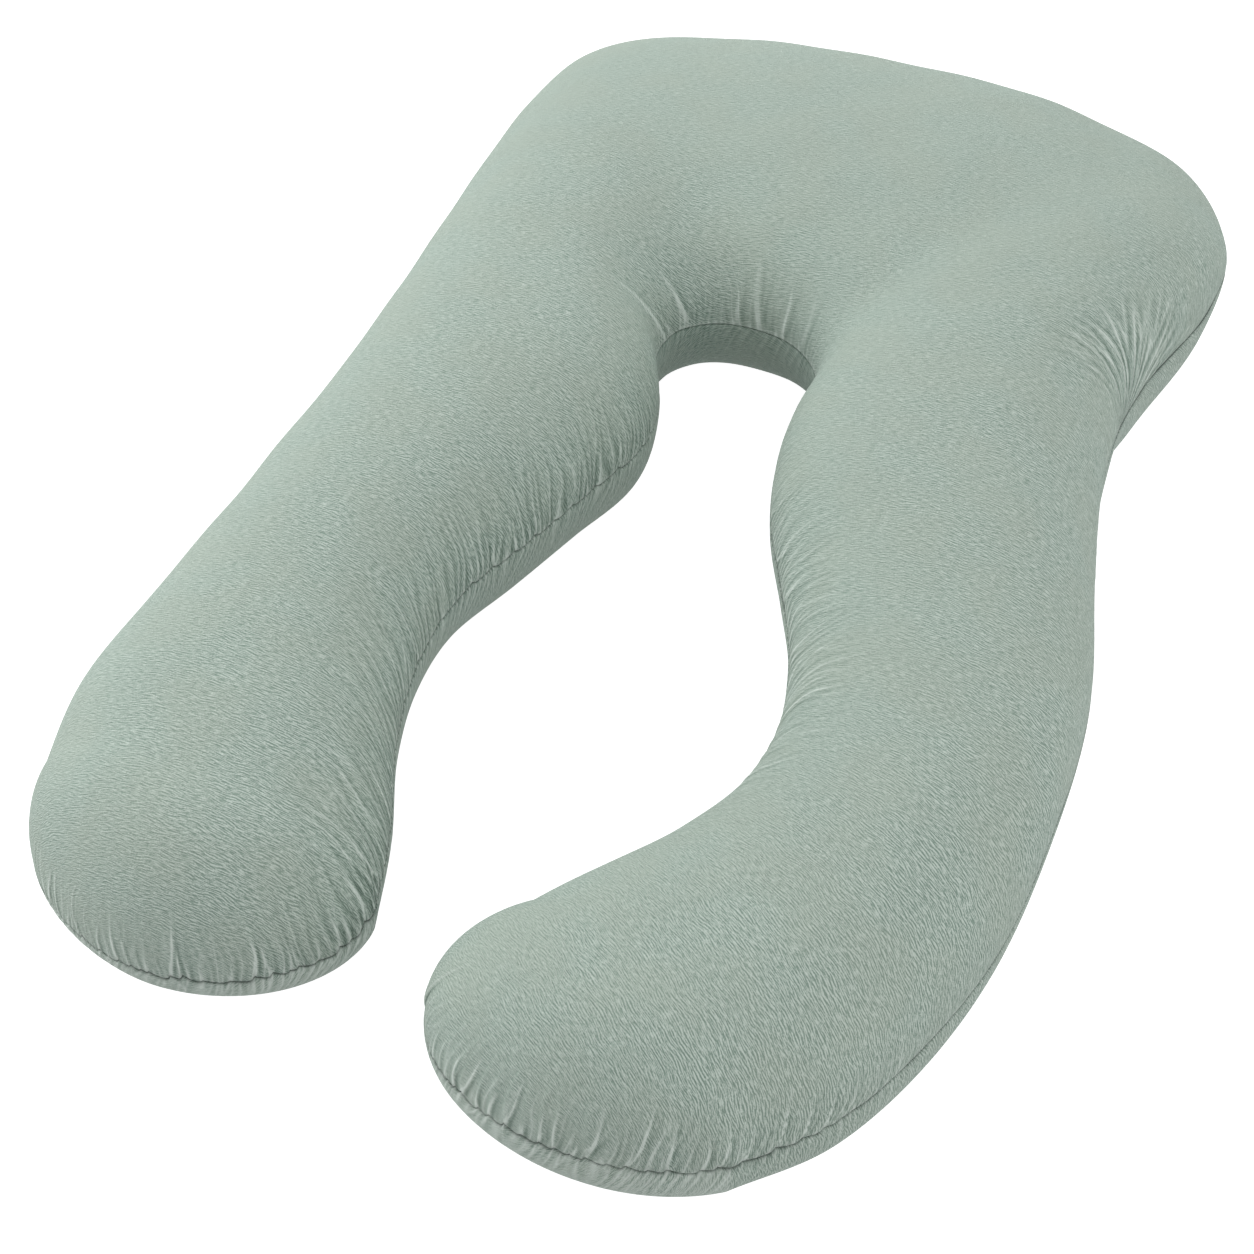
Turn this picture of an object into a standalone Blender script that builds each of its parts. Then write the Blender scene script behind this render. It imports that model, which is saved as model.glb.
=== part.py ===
"""Pregnancy pillow: a filled cloth U lying flat, one closed solid with a sewn edge all round and gathers at both ends."""

import math
from collections import namedtuple

import bmesh
import bpy
import numpy as np

# Lengths in the tables and constants are millimetres. The mesh itself is in metres.
MM = 0.001

# One row for each rib across the pillow, from the left leg's end, round the head, to the right leg's end.
# The seam points are seen from above. A foot is the share of the half width that lies on the floor.
# The roll is how far the underside swells out past the seam on the outer side.
# Steps are the ribs made between this row and the next.
Row = namedtuple(
    "Row",
    "inner_x inner_y outer_x outer_y crown inner_seam outer_seam inner_foot outer_foot roll steps",
)
ROWS = [
    Row(-76, -558, -403, -535, 178, 80, 42, 0.50, 0.50, 0, 4),
    Row(-97, -485, -412, -460, 188, 88, 64, 0.45, 0.50, 0, 3),
    Row(-130, -405, -397, -380, 192, 95, 84, 0.40, 0.50, 0, 3),
    Row(-150, -320, -388, -300, 192, 98, 95, 0.40, 0.50, 0, 3),
    Row(-149, -235, -383, -220, 192, 98, 95, 0.40, 0.50, 0, 3),
    Row(-119, -150, -379, -135, 195, 98, 98, 0.45, 0.50, 0, 3),
    Row(-92, -69, -374, -50, 200, 98, 100, 0.50, 0.50, 0, 3),
    Row(-69, 5, -373, 50, 205, 98, 100, 0.60, 0.50, 0, 3),
    Row(-78, 70, -376, 160, 205, 98, 100, 0.66, 0.50, 0, 4),
    Row(-104, 127, -381, 290, 205, 98, 100, 0.68, 0.50, 0, 4),
    Row(-102, 172, -380, 420, 205, 96, 100, 0.68, 0.50, 0, 4),
    Row(-81, 198, -360, 539, 200, 94, 100, 0.68, 0.50, 0, 4),
    Row(-53, 210, -284, 612, 200, 94, 100, 0.68, 0.50, 0, 4),
    Row(-20, 211, -145, 649, 205, 94, 100, 0.68, 0.50, 0, 4),
    Row(10, 204, 40, 662, 205, 94, 100, 0.68, 0.50, 0, 4),
    Row(35, 187, 190, 648, 205, 94, 100, 0.72, 0.50, 0, 4),
    Row(53, 160, 322, 595, 200, 96, 100, 0.83, 0.50, 0, 4),
    Row(56, 125, 388, 501, 205, 98, 100, 0.88, 0.50, 3, 4),
    Row(54, 82, 392, 400, 205, 100, 100, 0.80, 0.50, 6, 4),
    Row(60, 20, 356, 262, 205, 100, 100, 0.67, 0.50, 14, 4),
    Row(80, -50, 350, 130, 205, 100, 98, 0.60, 0.50, 8, 3),
    Row(114, -120, 375, -15, 200, 100, 98, 0.55, 0.50, 0, 3),
    Row(148, -195, 404, -150, 195, 98, 95, 0.50, 0.50, 0, 3),
    Row(166, -280, 409, -285, 192, 95, 102, 0.50, 0.50, 2, 3),
    Row(157, -355, 398, -405, 190, 92, 86, 0.50, 0.50, 3, 3),
    Row(125, -413, 368, -505, 188, 87, 79, 0.50, 0.45, 9, 4),
    Row(85, -463, 325, -595, 184, 81, 82, 0.50, 0.45, 9, 4),
    Row(38, -517, 264, -658, 178, 67, 79, 0.50, 0.45, 8, 4),
]

# Each leg ends in a rounded cap: how far it runs on, how square its outer and its inner half are,
# how far its tip leans to the inner side, and how late its seam climbs to the inner side's height.
Cap = namedtuple("Cap", "length outer_power inner_power lean seam_power")
LEFT_CAP = Cap(length=116, outer_power=1.93, inner_power=1.80, lean=8, seam_power=1.4)
RIGHT_CAP = Cap(length=127, outer_power=1.95, inner_power=1.90, lean=56, seam_power=1.0)
CAP_SPOKES = 48

# Profile of the upper panel, and the sewn edge: the cloth turns in by the groove over the lip.
TOP_POWER = 2.15
TOP_ROUND = 2.1
TOP_STEPS = 8
UNDER_STEPS = 4
LIP = 4
GROOVE = 4

# The deep gathers in the cloth, each running in from the seam.
# On a cap the place is the angle round it from its outer side; on a side it is the number of a row.
Gather = namedtuple("Gather", "side place length width depth")
GATHERS = [
    Gather("left cap", 47, 75, 9, 4),
    Gather("left cap", 70, 60, 9, 4),
    Gather("left cap", 84, 60, 9, 5),
    Gather("left cap", 107, 55, 9, 5),
    Gather("left cap", 123, 45, 9, 4),
    Gather("left cap", 141, 60, 9, 5),
    Gather("left cap", 158, 70, 9, 4),
    Gather("right cap", 20, 70, 9, 4),
    Gather("right cap", 38, 55, 9, 4),
    Gather("right cap", 56, 65, 9, 5),
    Gather("right cap", 71, 65, 9, 5),
    Gather("right cap", 86, 55, 9, 5),
    Gather("right cap", 100, 55, 9, 5),
    Gather("right cap", 114, 50, 9, 5),
    Gather("right cap", 128, 45, 9, 5),
    Gather("right cap", 150, 75, 11, 7),
    Gather("outer", 26.3, 80, 10, 4),
    Gather("outer", 18.6, 110, 13, 5),
    Gather("outer", 19.2, 120, 13, 5),
    Gather("inner", 9.6, 110, 12, 4),
    Gather("inner", 11.2, 100, 12, 4),
    Gather("inner", 14.0, 70, 12, 3),
]

SAGE = (0.40, 0.46, 0.42, 1.0)

Spoke = namedtuple("Spoke", "seam middle crown seam_z foot roll side place")


def between(first, second, share):
    return first * (1 - share) + second * share


def ribs():
    """The table's rows and the ribs between them, on one smooth curve, each with its row number."""
    table = np.array([row[:-1] for row in ROWS], float)
    before = 2 * table[0] - table[1]
    after = 2 * table[-1] - table[-2]
    knots = np.vstack([before, table, after])
    made = []
    for index in range(len(ROWS) - 1):
        a, b, c, d = knots[index : index + 4]
        for step in range(ROWS[index].steps):
            t = step / ROWS[index].steps
            bend = (2 * a - 5 * b + 4 * c - d) * t**2 + (3 * b - a - 3 * c + d) * t**3
            made.append((index + t, 0.5 * (2 * b + (c - a) * t + bend)))
    made.append((len(ROWS) - 1.0, table[-1]))
    return [(place, Row(*values, 0)) for place, values in made]


def side_spoke(place, rib, side):
    inner = np.array([rib.inner_x, rib.inner_y])
    outer = np.array([rib.outer_x, rib.outer_y])
    middle = (inner + outer) / 2
    if side == "inner":
        return Spoke(inner, middle, rib.crown, rib.inner_seam, rib.inner_foot, 0, side, place)
    return Spoke(outer, middle, rib.crown, rib.outer_seam, rib.outer_foot, rib.roll, side, place)


def cap_spokes(end, onward, cap, side):
    """Spokes that fan round a leg's end from its outer seam point to its inner one."""
    inner = np.array([end.inner_x, end.inner_y])
    outer = np.array([end.outer_x, end.outer_y])
    middle = (inner + outer) / 2
    half = np.linalg.norm(outer - inner) / 2
    across = (outer - inner) / (2 * half)
    along = np.array([across[1], -across[0]])
    if along @ onward < 0:
        along = -along
    tip = along * cap.length - across * cap.lean
    made = []
    for index in range(1, CAP_SPOKES):
        share = index / CAP_SPOKES
        turn = math.pi * share
        power = cap.outer_power if share < 0.5 else cap.inner_power
        wide = math.copysign(abs(math.cos(turn)) ** (2 / power), math.cos(turn))
        far = math.sin(turn) ** (2 / power)
        made.append(
            Spoke(
                middle + across * half * wide + tip * far,
                middle,
                end.crown,
                between(end.outer_seam, end.inner_seam, share**cap.seam_power),
                between(end.outer_foot, end.inner_foot, share),
                end.roll * (1 - share),
                side,
                180 * share,
            )
        )
    return made


def spokes():
    """Every spoke of the pillow in order round its seam."""
    ribbing = ribs()
    first = ribbing[0][1]
    last = ribbing[-1][1]
    downward = np.array([0.0, -1.0])
    outer = [side_spoke(place, rib, "outer") for place, rib in ribbing]
    right = cap_spokes(last, downward, RIGHT_CAP, "right cap")
    inner = [side_spoke(place, rib, "inner") for place, rib in reversed(ribbing)]
    left = cap_spokes(first, downward, LEFT_CAP, "left cap")
    return outer + right + inner + left[::-1]


def section(spoke):
    """Points of one spoke, as distance out from the middle and height: over the top to the seam, then under."""
    reach = np.linalg.norm(spoke.seam - spoke.middle)
    edge = spoke.seam_z + LIP
    points = []
    for angle in np.linspace(0, math.pi / 2, TOP_STEPS + 1):
        out = math.sin(angle)
        rise = max(0.0, 1 - out**TOP_POWER) ** (1 / TOP_ROUND)
        points.append((reach * out, edge + (spoke.crown - edge) * rise))
    points.append((reach - GROOVE, spoke.seam_z))
    for angle in np.linspace(0, math.pi / 2, UNDER_STEPS + 1):
        out = spoke.foot + (1 - spoke.foot) * math.cos(angle)
        swell = spoke.roll * math.sin(2 * angle)
        points.append((reach * out + swell, (spoke.seam_z - LIP) * (1 - math.sin(angle))))
    points.append((0.0, 0.0))
    points = np.array(points)
    points[-2:, 1] = 0
    return points


def seam_distances(ring):
    """Distance of each spoke round the seam from the first one, and the whole length."""
    seam = np.array([spoke.seam for spoke in ring])
    sides = np.linalg.norm(np.roll(seam, -1, axis=0) - seam, axis=1)
    return np.concatenate([[0], np.cumsum(sides)[:-1]]), sides.sum()


def place_of(gather, ring, distances):
    """Where a gather meets the seam, as a distance round it."""
    found = [(spoke.place, far) for spoke, far in zip(ring, distances) if spoke.side == gather.side]
    found.sort()
    places, along = zip(*found)
    return float(np.interp(gather.place, places, along))


def gathered(points, far, folds, around):
    """One spoke's points with the folds of cloth pushed into the upper panel, fading up from the seam."""
    seam = TOP_STEPS
    steps = np.linalg.norm(np.diff(points[: seam + 1], axis=0), axis=1)
    up = np.concatenate([np.cumsum(steps[::-1])[::-1], [0]])
    slope = np.gradient(points[: seam + 1], axis=0)
    inward = np.stack([slope[:, 1], -slope[:, 0]], axis=1)
    inward /= np.linalg.norm(inward, axis=1, keepdims=True)
    depth = np.zeros(seam + 1)
    for gather, at in folds:
        aside = abs(far - at)
        aside = min(aside, around - aside)
        fade = np.clip(1 - up / gather.length, 0, 1) ** 1.3
        depth += gather.depth * math.exp(-((aside / gather.width) ** 2)) * fade
    points[: seam + 1] += inward * depth[:, None]
    return points


def pillow_mesh():
    ring = spokes()
    distances, around = seam_distances(ring)
    folds = [(gather, place_of(gather, ring, distances)) for gather in GATHERS]
    grid = []
    for spoke, far in zip(ring, distances):
        profile = gathered(section(spoke), far, folds, around)
        outward = (spoke.seam - spoke.middle) / np.linalg.norm(spoke.seam - spoke.middle)
        flat = spoke.middle + outward * profile[:, :1]
        grid.append(np.column_stack([flat, profile[:, 1]]))
    grid = np.array(grid)
    low = grid.min(axis=(0, 1))
    high = grid.max(axis=(0, 1))
    grid -= [(low[0] + high[0]) / 2, (low[1] + high[1]) / 2, 0]
    around_count, down_count = grid.shape[:2]
    faces = []
    for i in range(around_count):
        here = i * down_count
        there = (i + 1) % around_count * down_count
        for j in range(down_count - 1):
            faces.append((here + j, there + j, there + j + 1, here + j + 1))
    mesh = bpy.data.meshes.new("pillow")
    mesh.from_pydata((grid.reshape(-1, 3) * MM).tolist(), [], faces)
    return mesh


def close_mesh(mesh):
    """Joins the points that the spokes share along the middle and turns all faces out."""
    work = bmesh.new()
    work.from_mesh(mesh)
    bmesh.ops.remove_doubles(work, verts=work.verts, dist=0.01 * MM)
    bmesh.ops.triangulate(work, faces=work.faces)
    bmesh.ops.recalc_face_normals(work, faces=work.faces)
    work.to_mesh(mesh)
    work.free()
    mesh.shade_smooth()


def cloth_material():
    material = bpy.data.materials.new("jersey_cover")
    material.use_nodes = True
    shader = material.node_tree.nodes["Principled BSDF"]
    shader.inputs["Base Color"].default_value = SAGE
    shader.inputs["Roughness"].default_value = 0.9
    return material


for leftover in list(bpy.data.objects):
    bpy.data.objects.remove(leftover)

collection = bpy.data.collections.new("pregnancy_pillow")
bpy.context.scene.collection.children.link(collection)

pillow = bpy.data.objects.new("pillow", pillow_mesh())
close_mesh(pillow.data)
pillow.data.materials.append(cloth_material())
collection.objects.link(pillow)
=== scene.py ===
"""The looks of the pregnancy pillow: its sewn cover of heathered jersey, drawn into gathers along one seam.

The cover is built rib by rib round the loop, in millimetres: every rib runs from the middle of the pillow out to the
seam, and its height follows a crown. The creases read off the photograph then move the points along their normals.
"""

import math
from collections import namedtuple

import bpy
import numpy as np
from mathutils import Matrix, Vector


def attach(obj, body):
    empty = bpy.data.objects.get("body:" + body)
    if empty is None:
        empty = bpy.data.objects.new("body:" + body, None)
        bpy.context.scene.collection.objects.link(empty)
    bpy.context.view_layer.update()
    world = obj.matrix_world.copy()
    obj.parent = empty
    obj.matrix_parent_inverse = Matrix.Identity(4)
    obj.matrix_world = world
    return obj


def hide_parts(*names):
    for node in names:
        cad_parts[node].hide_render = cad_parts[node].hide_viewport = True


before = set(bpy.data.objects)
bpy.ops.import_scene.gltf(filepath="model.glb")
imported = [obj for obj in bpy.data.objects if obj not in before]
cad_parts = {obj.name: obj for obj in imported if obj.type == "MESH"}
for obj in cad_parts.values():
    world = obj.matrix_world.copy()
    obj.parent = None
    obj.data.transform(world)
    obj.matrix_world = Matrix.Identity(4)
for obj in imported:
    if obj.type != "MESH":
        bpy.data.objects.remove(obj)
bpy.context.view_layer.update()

MM = 0.001

# One row for each rib across the pillow, millimetres seen from above, from the left leg's end round the head to the
# right leg's end. A foot is the share of the half width on the floor, and the roll is how far the underside swells
# out past the seam on the outer side.
Row = namedtuple(
    "Row", "inner_x inner_y outer_x outer_y crown inner_seam outer_seam inner_foot outer_foot roll"
)
ROWS = [
    Row(-76, -558, -403, -535, 178, 80, 42, 0.50, 0.50, 0),
    Row(-97, -485, -412, -460, 188, 88, 64, 0.45, 0.50, 0),
    Row(-130, -405, -397, -380, 192, 95, 84, 0.40, 0.50, 0),
    Row(-150, -320, -388, -300, 192, 98, 95, 0.40, 0.50, 0),
    Row(-149, -235, -383, -220, 192, 98, 95, 0.40, 0.50, 0),
    Row(-119, -150, -379, -135, 195, 98, 98, 0.45, 0.50, 0),
    Row(-92, -69, -374, -50, 200, 98, 100, 0.50, 0.50, 0),
    Row(-69, 5, -373, 50, 205, 98, 100, 0.60, 0.50, 0),
    Row(-78, 70, -376, 160, 205, 98, 100, 0.66, 0.50, 0),
    Row(-104, 127, -381, 290, 205, 98, 100, 0.68, 0.50, 0),
    Row(-102, 172, -380, 420, 205, 96, 100, 0.68, 0.50, 0),
    Row(-81, 198, -360, 539, 200, 94, 100, 0.68, 0.50, 0),
    Row(-53, 210, -284, 612, 200, 94, 100, 0.68, 0.50, 0),
    Row(-20, 211, -145, 649, 205, 94, 100, 0.68, 0.50, 0),
    Row(10, 204, 40, 662, 205, 94, 100, 0.68, 0.50, 0),
    Row(35, 187, 190, 648, 205, 94, 100, 0.72, 0.50, 0),
    Row(53, 160, 322, 595, 200, 96, 100, 0.83, 0.50, 0),
    Row(56, 125, 388, 501, 205, 98, 100, 0.88, 0.50, 3),
    Row(54, 82, 392, 400, 205, 100, 100, 0.80, 0.50, 6),
    Row(60, 20, 356, 262, 205, 100, 100, 0.67, 0.50, 14),
    Row(80, -50, 350, 130, 205, 100, 98, 0.60, 0.50, 8),
    Row(114, -120, 375, -15, 200, 100, 98, 0.55, 0.50, 0),
    Row(148, -195, 404, -150, 195, 98, 95, 0.50, 0.50, 0),
    Row(166, -280, 409, -285, 192, 95, 102, 0.50, 0.50, 2),
    Row(157, -355, 398, -405, 190, 92, 86, 0.50, 0.50, 3),
    Row(125, -413, 368, -505, 188, 87, 79, 0.50, 0.45, 9),
    Row(85, -463, 325, -595, 184, 81, 82, 0.50, 0.45, 9),
    Row(38, -517, 264, -658, 178, 67, 79, 0.50, 0.45, 8),
]
# A leg's rounded end: how far it reaches past the last rib, how square its outer and its inner half are, how far its
# tip leans in, and how the seam's height changes round it.
Cap = namedtuple("Cap", "length outer_power inner_power lean seam_power")
LEFT_CAP = Cap(length=116, outer_power=1.93, inner_power=1.80, lean=8, seam_power=1.4)
RIGHT_CAP = Cap(length=127, outer_power=1.95, inner_power=1.90, lean=56, seam_power=1.0)
# The middle of the pillow in the table's millimetres, which is the frame's origin.
TABLE_CENTRE = np.array([-1.3, -14.9])
# How full the crown is over a rib, and how it rounds down to the seam.
TOP_POWER = 2.15
TOP_ROUND = 2.1
# The seam's groove: how far the panels' edges stand above and below the seam, how deep it is, and how far the under
# panel stands out past the upper one.
LIP = 2.4
GROOVE = 3.2
UNDER_PROUD = 0.8

# How far apart the ribs lie at the seam, by row, and the spokes of the two caps, in millimetres.
RIB_GAPS = [(0, 2.2), (1.5, 3.0), (7.5, 3.0), (9, 3.0), (15, 3.4), (18, 3.6), (20, 3.0), (25, 3.0), (27, 2.6)]
CAP_GAP = 1.45
# How finely the seam is measured before the ribs are spread along it.
FINE = 4001
# Points along a rib: over the crown, round each of the seam's edges, down the underside and over the flat foot.
TOP_RINGS = 40
ROLL_RINGS = 4
UNDER_RINGS = 22
FLAT_RINGS = 3


def ribs_at(places):
    """The table's values at these row numbers, on one smooth curve through the rows."""
    table = np.array(ROWS, float)
    knots = np.vstack([2 * table[0] - table[1], table, 2 * table[-1] - table[-2]])
    index = np.minimum(places.astype(int), len(ROWS) - 2)
    t = (places - index)[:, None]
    a, b, c, d = knots[index], knots[index + 1], knots[index + 2], knots[index + 3]
    bend = (2 * a - 5 * b + 4 * c - d) * t**2 + (3 * b - a - 3 * c + d) * t**3
    return 0.5 * (2 * b + (c - a) * t + bend)


def evenly(fine, gap_at):
    """Places along a finely sampled line whose steps follow the wanted gaps."""
    places, far = fine
    gaps = gap_at(places)
    steps = np.concatenate([[0], np.cumsum(np.diff(far) / ((gaps[1:] + gaps[:-1]) / 2))])
    count = int(round(steps[-1]))
    return np.interp(np.linspace(0, steps[-1], count + 1), steps, places)


def rib_places():
    """The ribs' row numbers, spread by the longer and the shorter of the two sides together."""
    places = np.linspace(0, len(ROWS) - 1, FINE)
    ribs = ribs_at(places)
    inner = np.linalg.norm(np.diff(ribs[:, 0:2], axis=0), axis=1)
    outer = np.linalg.norm(np.diff(ribs[:, 2:4], axis=0), axis=1)
    wanted = np.array(RIB_GAPS)
    far = np.concatenate([[0], np.cumsum(np.minimum(inner, outer) * 0.6 + np.maximum(inner, outer) * 0.4)])
    return evenly((places, far), lambda p: np.interp(p, wanted[:, 0], wanted[:, 1]))


def cap_seam(end, cap, shares):
    """Seam points of a leg's rounded end, from its outer side (0) to its inner side (1)."""
    inner, outer = end[0:2], end[2:4]
    middle = (inner + outer) / 2
    half = np.linalg.norm(outer - inner) / 2
    across = (outer - inner) / (2 * half)
    along = np.array([across[1], -across[0]])
    if along[1] > 0:
        along = -along
    tip = along * cap.length - across * cap.lean
    turn = math.pi * shares
    power = np.where(shares < 0.5, cap.outer_power, cap.inner_power)
    wide = np.sign(np.cos(turn)) * np.abs(np.cos(turn)) ** (2 / power)
    far = np.sin(turn) ** (2 / power)
    return middle + half * wide[:, None] * across + far[:, None] * tip


def cap_shares(end, cap):
    """The spokes of a cap, from its outer side (0) to its inner side (1), without the two ribs that it shares."""
    shares = np.linspace(0, 1, FINE)
    seam = cap_seam(end, cap, shares)
    far = np.concatenate([[0], np.cumsum(np.linalg.norm(np.diff(seam, axis=0), axis=1))])
    return evenly((shares, far), lambda p: np.full(len(p), CAP_GAP))[1:-1]


def loop():
    """Every spoke in order round the seam, as arrays."""
    places = rib_places()
    ribs = ribs_at(places)
    middles = (ribs[:, 0:2] + ribs[:, 2:4]) / 2
    parts = []

    def add(side, seam, middle, crown, seam_z, foot, roll, place):
        count = len(seam)
        parts.append(
            dict(
                side=np.full(count, side),
                seam=seam,
                middle=np.broadcast_to(middle, seam.shape),
                crown=np.broadcast_to(crown, count),
                seam_z=np.broadcast_to(seam_z, count),
                foot=np.broadcast_to(foot, count),
                roll=np.broadcast_to(roll, count),
                place=place,
            )
        )

    def add_cap(side, end, cap, reverse):
        shares = cap_shares(end, cap)
        if reverse:
            shares = shares[::-1]
        seam = cap_seam(end, cap, shares)
        add(
            side,
            seam,
            (end[0:2] + end[2:4]) / 2,
            end[4],
            end[6] + (end[5] - end[6]) * shares**cap.seam_power,
            end[8] * (1 - shares) + end[7] * shares,
            end[9] * (1 - shares),
            180 * shares,
        )

    # sides: 0 outer, 1 right cap, 2 inner, 3 left cap
    add(0, ribs[:, 2:4], middles, ribs[:, 4], ribs[:, 6], ribs[:, 8], ribs[:, 9], places)
    add_cap(1, ribs[-1], RIGHT_CAP, False)
    add(2, ribs[::-1, 0:2], middles[::-1], ribs[::-1, 4], ribs[::-1, 5], ribs[::-1, 7], 0.0, places[::-1])
    add_cap(3, ribs[0], LEFT_CAP, True)
    ring = {key: np.concatenate([part[key] for part in parts]) for key in parts[0]}
    steps = np.linalg.norm(np.roll(ring["seam"], -1, axis=0) - ring["seam"], axis=1)
    ring["far"] = np.concatenate([[0], np.cumsum(steps)[:-1]])
    ring["around"] = steps.sum()
    return ring


def top_profile(ring):
    """Distance out from the middle and height of every point of the upper panel, spoke by ring."""
    reach = np.linalg.norm(ring["seam"] - ring["middle"], axis=1)[:, None]
    edge = ring["seam_z"][:, None] + LIP
    crown = ring["crown"][:, None]
    angle = np.linspace(0, math.pi / 2, TOP_RINGS + 1)[None, :]
    out = np.sin(angle)
    rise = np.maximum(0, 1 - out**TOP_POWER) ** (1 / TOP_ROUND)
    far, high = reach * out, edge + (crown - edge) * rise
    turn = np.linspace(0, math.pi / 2, ROLL_RINGS + 1)[None, 1:]
    far = np.hstack([far, reach - GROOVE * (1 - np.cos(turn))])
    high = np.hstack([high, edge - LIP * np.sin(turn)])
    return far, high


def under_profile(ring):
    """The same for the under panel, from the seam's groove down and in over the flat foot."""
    reach = np.linalg.norm(ring["seam"] - ring["middle"], axis=1)[:, None]
    edge = ring["seam_z"][:, None] - LIP
    turn = np.linspace(math.pi / 2, 0, ROLL_RINGS + 1)[None, :-1]
    far = reach + UNDER_PROUD * np.cos(turn) - GROOVE * (1 - np.cos(turn))
    high = edge + LIP * np.sin(turn)
    angle = np.linspace(0, math.pi / 2, UNDER_RINGS + 1)[None, :]
    foot = ring["foot"][:, None]
    out = foot + (1 - foot) * np.cos(angle)
    swell = ring["roll"][:, None] * np.sin(2 * angle) + UNDER_PROUD * np.cos(angle)
    far = np.hstack([far, reach * out + swell])
    high = np.hstack([high, edge * (1 - np.sin(angle))])
    inner = np.linspace(1, 0, FLAT_RINGS + 1)[None, 1:]
    far = np.hstack([far, reach * foot * inner])
    high = np.hstack([high, np.zeros_like(reach * inner)])
    return far, high


def outward(ring):
    """Each spoke's flat direction from the middle to the seam."""
    out = ring["seam"] - ring["middle"]
    return out / np.linalg.norm(out, axis=1, keepdims=True)


def place_points(ring, far, high):
    flat = ring["middle"][:, None, :] + outward(ring)[:, None, :] * far[:, :, None]
    return np.concatenate([flat - TABLE_CENTRE, high[:, :, None]], axis=2)


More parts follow.
